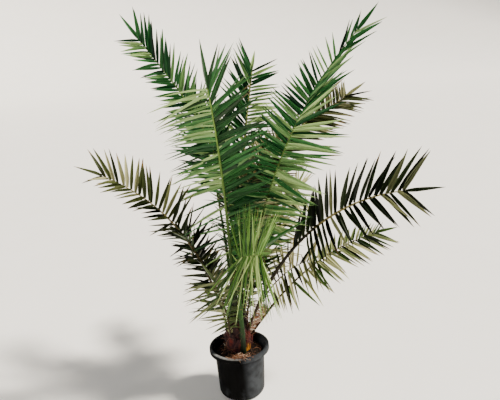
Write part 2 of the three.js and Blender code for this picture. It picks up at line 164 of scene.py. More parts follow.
# Camera where the photo was taken from, tipped down and rolled
photoCamera = {"location": (0.098, -2.5, 1.652), "tipDown": 15.9, "roll": 4.0, "lens": 42.9, "sensor": 36.0}

camera = bpy.data.objects.new("camera", bpy.data.cameras.new("camera"))
camera.data.lens = photoCamera["lens"]
camera.data.sensor_width = photoCamera["sensor"]
tip = Matrix.Rotation(np.radians(90 - photoCamera["tipDown"]), 4, "X")
turn = Matrix.Rotation(-np.radians(photoCamera["roll"]), 4, "Z")
camera.matrix_world = Matrix.Translation(photoCamera["location"]) @ tip @ turn
bpy.context.scene.collection.objects.link(camera)
bpy.context.scene.camera = camera
print("camera set")


# Pot: black polypropylene, injection moulded, so it has a satin skin, dull with dust low down, with painted
# light on its right and scuffed at its rim, with a painted highlight on the front left of the rim
pot = {
    "height": 0.245, "footFlat": 0.084, "corner": 0.030, "wallFoot": 0.107, "wallTop": 0.116, "wall": 0.004,
    "rim": 0.140, "rimDrop": 0.024, "rimRoll": 0.006, "lip": 0.013, "fillet": 0.003, "draft": 0.0005,
    "hub": 0.02, "sides": 128, "sharp": 50,
    # the dust colour also paints the light on the right side, and the pale rim colour a highlight on the rim
    "black": "#020202", "grey": "#070708", "dustAndLitSide": "#373a3e", "scuff": "#272b30", "rimHighlight": "#c4c5c4",
    "blotchMm": 45, "streakMm": 11, "streakSquash": (1.0, 1.0, 0.12), "grainMm": 2.4,
    "dustReach": (0.09, 0.005), "dustPatch": (0.54, 0.8), "litSideTurn": -0.35, "litSideReach": (0.046, 0.09),
    "litSideMottle": (0.38, 0.62, 0.5), "scuffDepth": 0.007, "highlightTurn": (-0.5, -0.5),
    "highlightReach": (-0.375, -0.36), "roughness": (0.3, 0.7, 0.34, 0.58),
    "bump": {"Strength": 0.12, "Distance": 0.001},
}


# Quarter of an ellipse between two points: the corner they span, plus the start's way from it by 1 less a
# sine and the end's by 1 less a cosine, so that it leaves the start along the first way
def quarter(start, end, first, count):
    angle = np.linspace(0, np.pi / 2, count)[:, None]
    start, end = np.array(start), np.array(end)
    corner = np.where(np.array(first) != 0, end, start)
    return corner + (start - corner) * (1 - np.sin(angle)) + (end - corner) * (1 - np.cos(angle))


# Profile of radius and height: flat foot, rounded corner, tapered wall, square-edged rim band with a rolled
# top, then down the inside. Each stretch starts a little after the last, so the edge between them is crisp.
def buildPotProfile(p):
    top, rim, roll, fillet, hub = p["height"], p["rim"], p["rimRoll"], p["fillet"], p["hub"]
    foot, low, high, corner = p["footFlat"], p["wallFoot"], p["wallTop"], p["corner"]
    under, small, drafted = top - p["rimDrop"], roll / 3, rim - p["draft"]
    inLip, inHigh, inLow = rim - p["lip"], high - p["wall"], low - p["wall"]
    outside = [
        np.array([[hub, 0], [0.06, 0], [foot - 0.004, 0]]),
        quarter((foot, 0), (low, corner), (1, 0), 12),
        np.linspace([low, corner + 0.004], [high, under - 0.002], 14),
        quarter((high + 0.0002, under - 0.001), (high + fillet, under), (0, 1), 4),
        quarter((rim - small, under), (rim, under + small), (1, 0), 5),
        np.linspace([rim, under + 0.004], [drafted, top - roll], 4),
        quarter((drafted, top - roll), (rim - roll, top), (0, 1), 8),
    ]
    inside = [
        quarter((inLip + fillet, top), (inLip, top - fillet), (1, 0), 5),
        np.linspace([inLip - 0.001, top - 0.006], [inHigh, under], 4),
        np.linspace([inHigh, under - 0.01], [inLow, corner], 8),
        quarter((inLow, corner - 0.002), (foot, p["wall"]), (0, 1), 8),
        np.array([[0.05, p["wall"]], [hub, p["wall"]]]),
    ]
    return np.vstack(outside + inside)


def potPlastic(p):
    fixed = {"IOR": 1.49, "Specular IOR Level": 0.02}
    material, tree, shader = startMaterial("blackMouldedPolypropylene", fixed)
    place = addNode(tree, "TexCoord").outputs["Object"]
    x, y, z = addNode(tree, "SeparateXYZ", (place,)).outputs
    blotch = addNode(tree, "TexNoise", {"Vector": place, "Scale": noiseScale(p["blotchMm"]), "Detail": 6.0})
    upright = addNode(tree, "Mapping", {"Vector": place, "Scale": p["streakSquash"]})
    streak = addNode(tree, "TexNoise", {"Vector": upright, "Scale": noiseScale(p["streakMm"]), "Detail": 4.0})
    skin = addNode(tree, "ValToRGB", (streak,), [(0.3, p["black"]), (0.75, p["grey"])])
    # dust in patches near the ground, and painted light down the side that faces right and forwards
    low = addNode(tree, "MapRange", (z, *p["dustReach"]), interpolation_type="SMOOTHSTEP")
    patch = addNode(tree, "MapRange", (blotch, *p["dustPatch"]))
    dusty = addNode(tree, "Math", (low, patch), operation="MULTIPLY")
    facing = addNode(tree, "Math", (y, p["litSideTurn"], x), operation="MULTIPLY_ADD")
    litSide = addNode(tree, "MapRange", (facing, *p["litSideReach"]), interpolation_type="SMOOTHSTEP")
    mottled = addNode(tree, "MapRange", (blotch, *p["litSideMottle"]))
    paintedLight = addNode(tree, "Math", (litSide, mottled), operation="MULTIPLY")
    either = addNode(tree, "Math", (paintedLight, dusty), operation="MAXIMUM")
    base = addNode(tree, "Mix", {0: either, 6: skin, 7: linear(p["dustAndLitSide"])}, data_type="RGBA").outputs[2]
    # scuffs along the top of the rim, and a painted highlight where they face the front left
    high = addNode(tree, "MapRange", (z, p["height"] - p["scuffDepth"], p["height"]))
    worn = addNode(tree, "Math", (high, streak), operation="MULTIPLY")
    rimmed = addNode(tree, "Mix", {0: worn, 6: base, 7: linear(p["scuff"])}, data_type="RGBA").outputs[2]
    front = addNode(tree, "Math", (x, *p["highlightTurn"]), operation="MULTIPLY_ADD")
    toward = addNode(tree, "Math", (front, y), operation="SUBTRACT")
    highlightMask = addNode(tree, "MapRange", (toward, *p["highlightReach"]), interpolation_type="SMOOTHSTEP")
    paintedHighlight = addNode(tree, "Math", (highlightMask, worn), operation="MULTIPLY")
    highlighted = addNode(tree, "Mix", {0: paintedHighlight, 6: rimmed, 7: linear(p["rimHighlight"])}, data_type="RGBA").outputs[2]
    # the moulded grain is drawn coarser than the real half millimetre, so that it shows
    grain = addNode(tree, "TexNoise", {"Vector": place, "Scale": noiseScale(p["grainMm"])})
    rough = addNode(tree, "MapRange", (blotch, *p["roughness"]))
    bump = addNode(tree, "Bump", p["bump"] | {"Height": grain})
    plug(tree, shader, {"Base Color": highlighted, "Roughness": rough, "Normal": bump})
    return material


potRings = turned(buildPotProfile(pot), pot["sides"])
addPiece("pot", tubes(potRings), potPlastic(pot), ["pot"], pot["sharp"])
print("pot turned")


# Soil: dark moist peat with crumbs, matt and grainy, heaped a little round the trunk
soil = {
    "level": 0.208, "floor": 0.0046, "waist": 0.1, "hub": 0.02, "foot": 0.095, "edge": 0.1108,
    "edgeBand": 0.02, "rise": 0.022, "riseReach": 0.100, "riseTop": 0.05, "rows": 46, "sides": 96,
    "lump": 0.0035, "lumpSizes": (0.045, 0.016), "fineShare": 0.6, "seed": 3,
    "crumbs": 170, "crumbSize": (0.003, 0.008), "crumbFlat": 0.7,
    "dark": "#0a0705", "brown": "#22170f", "pale": "#4d3a29", "grainMm": 5.5,
    "bump": {"Strength": 0.7, "Distance": 0.003},
}


# Height of the soil's face: a low heap round the middle, lumps of two sizes, and a flat edge at the pot
def soilHeight(x, y, s):
    rng = np.random.default_rng(s["seed"])
    flat = np.stack([x, y], -1)
    away = np.hypot(x, y)
    coarse, fine = s["lumpSizes"]
    heap = s["rise"] * smoothStep(-away, -s["riseReach"], -s["riseTop"])
    lumps = s["lump"] * (waves(flat, coarse, 14, rng) + s["fineShare"] * waves(flat, fine, 18, rng))
    return s["level"] + heap + lumps * smoothStep(-away, -s["edge"], -s["edge"] + s["edgeBand"])


# Underside and side wall as a turned profile, then rings that shrink to the middle with the bumpy height
def buildSoil(s):
    side = np.array([[s["hub"], s["floor"]], [s["foot"], s["floor"]], [s["edge"] - 0.004, s["waist"]],
                     [s["edge"], s["level"]]])
    radius = np.linspace(s["edge"] - 0.0012, 0.004, s["rows"])
    rings = turned(np.vstack([side, np.stack([radius, 0 * radius], -1)]), s["sides"])
    face = rings[0, len(side):]
    face[..., 2] = soilHeight(face[..., 0], face[..., 1], s)
    return tubes(rings)


# Crumbs: small lumps, each a ball of four rings of six points with uneven axes, half sunk in the soil
def buildCrumbs(s):
    rng = np.random.default_rng(s["seed"] + 1)
    count = s["crumbs"]
    heading, away = rng.uniform(0, 2 * np.pi, count), s["edge"] * np.sqrt(rng.uniform(0.1, 0.9, count))
    x, y = away * np.cos(heading), away * np.sin(heading)
    middle = np.stack([x, y, soilHeight(x, y, s)], -1)
    climb, turn = np.radians([-62, -22, 22, 62])[:, None], np.linspace(0, 2 * np.pi, 6, endpoint=False)
    out = np.cos(climb)
    ball = np.stack([out * np.cos(turn), out * np.sin(turn), np.sin(climb) + 0 * turn], -1)
    uneven = rng.uniform(*s["crumbSize"], (count, 1)) * rng.uniform(0.5, 1.3, (count, 3))
    axes = uneven * (1, 1, s["crumbFlat"])
    jitter = rng.uniform(0.8, 1.2, (count, 4, 6, 1))
    return tubes(middle[:, None, None] + ball * jitter * axes[:, None, None])


def pottingSoil(s):
    material, tree, shader = startMaterial("moistPeatSoil", {"Roughness": 0.95, "Specular IOR Level": 0.2})
    place = addNode(tree, "TexCoord").outputs["Object"]
    texture = {"Vector": place, "Scale": noiseScale(s["grainMm"]), "Detail": 6.0, "Roughness": 0.7}
    grain = addNode(tree, "TexNoise", texture)
    colour = addNode(tree, "ValToRGB", (grain,), [(0.38, s["dark"]), (0.6, s["brown"]), (0.78, s["pale"])])
    bump = addNode(tree, "Bump", s["bump"] | {"Height": grain})
    plug(tree, shader, {"Base Color": colour, "Normal": bump})
    return material


soilMaterial = pottingSoil(soil)
addPiece("soil", buildSoil(soil), soilMaterial, ["soil"])
addPiece("soil_crumbs", buildCrumbs(soil), soilMaterial, ["soil"])
print("soil filled")


# Blades: leaflets, spines, straw and fibres are one shape. Its width starts at a share of the full one, is
# full from a share of its length and closes in a point, and its fold and keel flatten towards that.
blade = {
    "rows": np.array([0.0, 0.05, 0.14, 0.27, 0.42, 0.57, 0.71, 0.84, 0.94]),
    "root": (0.6, 0.4), "fullFrom": 0.25, "point": 2.3, "foldFade": 1.6, "keelFade": 0.7, "sharp": 30,
}


# A centre line runs from start along way and is carried off by sag times the square of the way along it.
# The section has two raised edges, a fold between them and a keel below.
def blades(start, way, normal, length, width, sag, fold, keel, b=blade):
    run = b["rows"]
    count, rows = len(start), len(run)
    normal = unit(normal - (normal * way).sum(-1, keepdims=True) * way)
    across = np.cross(way, normal)
    far = run[None, :, None] * length[:, None, None]
    middle = start[:, None] + way[:, None] * far + sag[:, None] * far * run[None, :, None]
    outline = (b["root"][0] + b["root"][1] * smoothStep(run, 0, b["fullFrom"])) * (1 - run ** b["point"])
    half = (width[:, None] / 2 * outline)[..., None]
    lift = normal[:, None] * half * (fold[:, None] * (b["foldFade"] - run))[..., None]
    thick = normal[:, None] * (keel[:, None] * (1 - b["keelFade"] * run))[..., None]
    span = across[:, None] * half
    rings = np.stack([middle, middle + span + lift, middle - thick, middle - span + lift], 2)
    ends = start + way * length[:, None] + sag * length[:, None]
    grid, beside, quads = ringGrid(count, rows, 4)
    point = (grid.size + np.arange(count))[:, None] + np.zeros((1, 4), int)
    roots = grid[:, 0, ::-1]
    points = np.stack([grid[:, -1], beside[:, -1], point], -1).reshape(-1, 3)
    below = np.array([0.0, 1.0, 1.0, 0.0])
    under = np.concatenate([np.tile(below, count * (rows - 1)), np.zeros(count), np.tile(below, count)])
    along = np.concatenate([np.broadcast_to(run[None, :, None], (count, rows, 4)).ravel(), np.ones(count)])
    edge = np.concatenate([np.tile([0.0, 1.0, 0.0, -1.0], count * rows), np.zeros(count)])
    return {
        "points": np.vstack([rings.reshape(-1, 3), ends]), "faces": [quads, roots, points],
        "marks": {"along": ("POINT", along), "edge": ("POINT", edge), "under": ("FACE", under)},
    }


# Gives every point of a set of blades its blade's own number
def dealOut(shape, key, values):
    rows = len(blade["rows"]) * 4
    shape["marks"][key] = ("POINT", np.concatenate([np.repeat(values, rows), values]))


# Straw: dry slivers of leaf and stalk, pale and matt, strewn on the soil with a tuft over the front of the
# rim and one stick across it
straw = {
    "count": 60, "length": (0.012, 0.045), "width": (0.0012, 0.004), "fold": 0.25, "keel": 0.0009,
    "reach": 0.104, "shortFrom": 0.085, "shortShare": 0.5, "above": (0.002, 0.006), "tipSpread": 9,
    "tilt": 0.3, "sag": 0.05,
    "tuft": {"count": 80, "place": (0.004, -0.122, 0.248), "spread": (0.024, 0.009, 0.004), "pale": 0.12},
    "stick": {"start": (-0.075, 0.047, 0.226), "end": (-0.048, -0.033, 0.224), "width": 0.005, "tone": 1.0},
    "seed": 5, "tone": (0, 0.5), "brown": "#3a1d12", "tan": "#94674a", "pale": "#d9cfbd", "fleckMm": 3.3,
}


# Slivers lie at random headings a little above the soil, shorter near the pot, and the tuft's about its place
def buildStraw(s, ground):
    rng = np.random.default_rng(s["seed"])
    tuft, stick = s["tuft"], s["stick"]
    count, more = s["count"], tuft["count"]
    total = count + more
    away = s["reach"] * np.sqrt(rng.uniform(0.2, 1, count))
    heading = rng.uniform(0, 2 * np.pi, count)
    x, y = away * np.cos(heading), away * np.sin(heading)
    lying = np.stack([x, y, soilHeight(x, y, ground) + rng.uniform(*s["above"], count)], -1)
    heaped = np.array(tuft["place"]) + rng.normal(size=(more, 3)) * tuft["spread"]
    turn = rng.uniform(0, 2 * np.pi, total)
    tip = np.radians(rng.normal(0, s["tipSpread"], total))
    way = np.stack([np.cos(turn) * np.cos(tip), np.sin(turn) * np.cos(tip), np.sin(tip)], -1)
    length = rng.uniform(*s["length"], total)
    start = np.vstack([lying, heaped]) - way * length[:, None] / 2
    reach = np.hypot(*(start + way * length[:, None] / 2)[:, :2].T)
    length[:count] *= np.where(reach[:count] > s["shortFrom"], s["shortShare"], 1)
    stickWay = np.subtract(stick["end"], stick["start"])
    start = np.vstack([start, stick["start"]])
    way = np.vstack([way, unit(stickWay)])
    length = np.append(length, np.linalg.norm(stickWay))
    width = np.append(rng.uniform(*s["width"], total), stick["width"])
    up = np.tile([0.0, 0.0, 1.0], (total + 1, 1)) + rng.normal(size=(total + 1, 3)) * s["tilt"]
    sag = rng.normal(size=(total + 1, 3)) * s["sag"]
    fold, keel = np.full(total + 1, s["fold"]), np.full(total + 1, s["keel"])
    shape = blades(start, way, up, length, width, sag, fold, keel)
    tone = rng.uniform(*s["tone"], total) + np.repeat([0, tuft["pale"]], [count, more])
    dealOut(shape, "tone", np.append(tone, stick["tone"]))
    return shape


def dryStraw(s):
    material, tree, shader = startMaterial("dryStraw", {"Roughness": 0.8, "Specular IOR Level": 0.3})
    tone = addNode(tree, "Attribute", attribute_name="tone").outputs["Fac"]
    place = addNode(tree, "TexCoord").outputs["Object"]
    fleck = addNode(tree, "TexNoise", {"Vector": place, "Scale": noiseScale(s["fleckMm"]), "Detail": 3.0})
    mixed = addNode(tree, "Math", (fleck, 0.5, tone), operation="MULTIPLY_ADD")
    colour = addNode(tree, "ValToRGB", (mixed,), [(0.2, s["brown"]), (0.7, s["tan"]), (1.0, s["pale"])])
    plug(tree, shader, {"Base Color": colour})
    return material


strawMaterial = dryStraw(straw)
addPiece("straw", buildStraw(straw, soil), strawMaterial, ["soil"], blade["sharp"])
print("straw strewn")


# Trunk: a bulb of old leaf bases, fibrous and matt, maroon where it is fresh, rusty in patches, yellow
# where a sheath has torn, and with painted shade under the crown
trunk = {
    "foot": 0.2083, "height": 0.184, "sides": 120, "rows": 80, "crowd": 0.9, "seed": 11, "sharp": 60,
    "ridge": 0.0022, "ridgeSize": 0.35, "ridgeWaves": 24, "ridgeFrom": 0.1, "wander": 2,
    "swell": [(0, 0.052), (0.12, 0.056), (0.25, 0.058), (0.38, 0.057), (0.5, 0.054), (0.7, 0.048),
              (0.88, 0.042), (0.95, 0.036), (0.99, 0.020), (1, 0.006)],
    "bases": 18, "baseTurn": 137.5, "climb": (0.24, 0.74), "reach": (0.052, 0.044), "baseLength": 0.078,
    "baseWidth": 0.058, "baseThickness": 0.020, "baseLean": 16, "basePoint": 0.3, "baseNarrow": 1.3,
    "baseRag": 0.12, "baseWave": 0.05, "baseBow": 0.006, "baseHug": 0.06,
    "shade": "#050203", "maroon": "#2a0913", "rust": "#6b1f12", "straw": "#4a3419", "yellow": "#e09426",
    "fibreMm": 3.8, "fibreSquash": (1.0, 1.0, 0.1), "patchMm": 55, "rustFrom": (0.5, 0.72),
    "fresh": (0.040, -0.044, 0.240), "freshReach": (0.036, 0.012), "tornFrom": (0.42, 0.62),
    "shadeReach": (0.27, 0.33, 0.0, 0.75), "bump": {"Strength": 0.6, "Distance": 0.002},
}


def buildTrunk(t):
    # bulb: radius by height from the swell, with upright ridges that wander as they climb
    rng = np.random.default_rng(t["seed"])
    share = np.linspace(0, 1, t["rows"]) ** t["crowd"]
    radius = np.interp(share, *np.array(t["swell"]).T)
    rings = turned(np.stack([radius, t["foot"] + share * t["height"]], -1), t["sides"])
    outwards = unit(rings * (1, 1, 0))
    field = np.concatenate([outwards[..., :2], rings[..., 2:] * t["wander"]], -1)
    ridges = t["ridge"] * waves(field, t["ridgeSize"], t["ridgeWaves"], rng)
    fade = smoothStep(share, 0, t["ridgeFrom"])[None, :, None, None]
    bulb = tubes(rings + outwards * ridges[..., None] * fade)
    # leaf bases: ragged shields of oval section that narrow upwards, lean out and climb by a fixed turn
    order = np.arange(t["bases"])[:, None, None]
    climb = (order + 0.5) / t["bases"]
    up = np.linspace(-0.5, 0.5, 11)[None, :, None]
    angle = np.linspace(0, 2 * np.pi, 16, endpoint=False)[None, None, :]
    narrow = 1 + (t["basePoint"] - 1) * (up + 0.5) ** t["baseNarrow"]
    ragged = 1 + t["baseRag"] * np.cos(5 * angle + 3 * order) * (up + 0.5)
    out = t["baseThickness"] / 2 * np.cos(angle) * narrow * ragged
    aside = t["baseWidth"] / 2 * np.sin(angle) * narrow * (1 + t["baseWave"] * np.sin(9 * up + order))
    rise = t["baseLength"] * up + 0 * angle + 0 * climb
    bow = t["baseBow"] * (1 - 4 * up ** 2) - 0.5 * aside ** 2 / t["baseHug"]
    lean = np.radians(t["baseLean"])
    x = (out + bow) * np.cos(lean) + rise * np.sin(lean)
    z = rise * np.cos(lean) - (out + bow) * np.sin(lean)
    x = x + t["reach"][0] + (t["reach"][1] - t["reach"][0]) * climb
    z = z + t["foot"] + between(t["climb"], climb) * t["height"]
    turn = np.radians(order * t["baseTurn"])
    cosine, sine = np.cos(turn), np.sin(turn)
    shields = np.stack([x * cosine - aside * sine, x * sine + aside * cosine, z], -1)
    return joined([bulb, tubes(shields)])


def palmTrunk(t):
    material, tree, shader = startMaterial("fibrousLeafBase", {"Roughness": 0.85, "Specular IOR Level": 0.25})
    place = addNode(tree, "TexCoord").outputs["Object"]
    tall = addNode(tree, "Mapping", {"Vector": place, "Scale": t["fibreSquash"]})
    # the fibres are drawn about four times as coarse as real ones, so that they show
    fibre = addNode(tree, "TexNoise", {"Vector": tall, "Scale": noiseScale(t["fibreMm"]), "Detail": 5.0})
    patch = addNode(tree, "TexNoise", {"Vector": place, "Scale": noiseScale(t["patchMm"]), "Detail": 3.0})
    dark = addNode(tree, "ValToRGB", (fibre,), [(0.3, t["shade"]), (0.55, t["maroon"]), (0.8, t["straw"])])
    warm = addNode(tree, "MapRange", (patch, *t["rustFrom"]))
    colour = addNode(tree, "Mix", {0: warm, 6: dark, 7: linear(t["rust"])}, data_type="RGBA").outputs[2]
    away = addNode(tree, "VectorMath", (place, t["fresh"]), operation="DISTANCE").outputs["Value"]
    near = addNode(tree, "MapRange", (away, *t["freshReach"]), interpolation_type="SMOOTHSTEP")
    streak = addNode(tree, "MapRange", (fibre, *t["tornFrom"]))
    torn = addNode(tree, "Math", (near, streak), operation="MULTIPLY")
    sheath = addNode(tree, "Mix", {0: torn, 6: colour, 7: linear(t["yellow"])}, data_type="RGBA").outputs[2]
    # painted shade: the top of the bulb, under the crown, is mixed towards the shade colour
    z = addNode(tree, "SeparateXYZ", (place,)).outputs["Z"]
    high = addNode(tree, "MapRange", (z, *t["shadeReach"]), interpolation_type="SMOOTHSTEP")
    shaded = addNode(tree, "Mix", {0: high, 6: sheath, 7: linear(t["shade"])}, data_type="RGBA").outputs[2]
    bump = addNode(tree, "Bump", t["bump"] | {"Height": fibre})
    plug(tree, shader, {"Base Color": shaded, "Normal": bump})
    return material


addPiece("trunk", buildTrunk(trunk), palmTrunk(trunk), ["trunk"], trunk["sharp"])
print("trunk raised")

# Fibres: torn threads of the leaf sheaths, tan and wiry, standing off the bulb, and a mat of torn sheath
# that hangs between the bulb and the stalk on its right
fibres = {
    "count": 110, "length": (0.03, 0.075), "width": 0.0012, "reach": (0.068, 0.050), "climb": (0.05, 0.85),
    "outwards": (0.1, 0.8), "aside": 0.6, "upwards": (-0.5, 1), "sagSpread": 0.15, "sag": (0, 0, -0.25),
    "fold": 0.3, "keel": 0.0006, "tone": (-0.2, 0.35), "seed": 17,
    "mat": {"count": 240, "low": (0.052, 0.005, 0.285), "high": (0.150, 0.016, 0.410), "scatter": 0.004,
            "way": (-0.9, -0.1, 0.45), "stray": 0.35, "face": (0.0, -1.0, 0.2), "sagSpread": 0.2,
            "width": 0.0028, "length": (0.03, 0.095), "tone": (-0.05, 0.75)},
}


# Threads start on the bulb, lean outwards and up, and bend back down by their sag. The mat's start along
# the stalk and lean back to the bulb.
def buildFibres(f, t):
    rng = np.random.default_rng(f["seed"])
    mat, count, more = f["mat"], f["count"], f["mat"]["count"]
    heading, share = rng.uniform(0, 2 * np.pi, count), rng.uniform(*f["climb"], count)
    away = np.interp(share, [0, 1], f["reach"])
    out = np.stack([np.cos(heading), np.sin(heading), 0 * heading], -1)
    aside = np.stack([-out[:, 1], out[:, 0], 0 * heading], -1)
    upright = np.array([0, 0, 1.0])
    start = out * away[:, None] + upright * (t["foot"] + share * t["height"])[:, None]
    outwards = out * rng.uniform(*f["outwards"], (count, 1))
    sideways = aside * rng.normal(size=(count, 1)) * f["aside"]
    upwards = upright * rng.uniform(*f["upwards"], (count, 1))
    way = unit(outwards + sideways + upwards)
    sag = rng.normal(size=(count, 3)) * f["sagSpread"] + np.array(f["sag"])
    along = between((np.array(mat["low"]), np.array(mat["high"])), rng.uniform(0, 1, (more, 1)))
    begin = along + rng.normal(size=(more, 3)) * mat["scatter"]
    lean = unit(np.array(mat["way"]) + rng.normal(size=(more, 3)) * mat["stray"])
    length = np.append(rng.uniform(*f["length"], count), rng.uniform(*mat["length"], more))
    width = np.repeat([f["width"], mat["width"]], [count, more])
    sag = np.vstack([sag, rng.normal(size=(more, 3)) * mat["sagSpread"]])
    face = np.vstack([out + 0.01, np.tile(mat["face"], (more, 1))])
    fold, keel = np.full(count + more, f["fold"]), np.full(count + more, f["keel"])
    shape = blades(np.vstack([start, begin]), np.vstack([way, lean]), face, length, width, sag, fold, keel)
    dealOut(shape, "tone", np.append(rng.uniform(*f["tone"], count), rng.uniform(*mat["tone"], more)))
    return shape


addPiece("trunk_fibres", buildFibres(fibres, trunk), strawMaterial, ["trunk"], blade["sharp"])
print("fibres drawn")
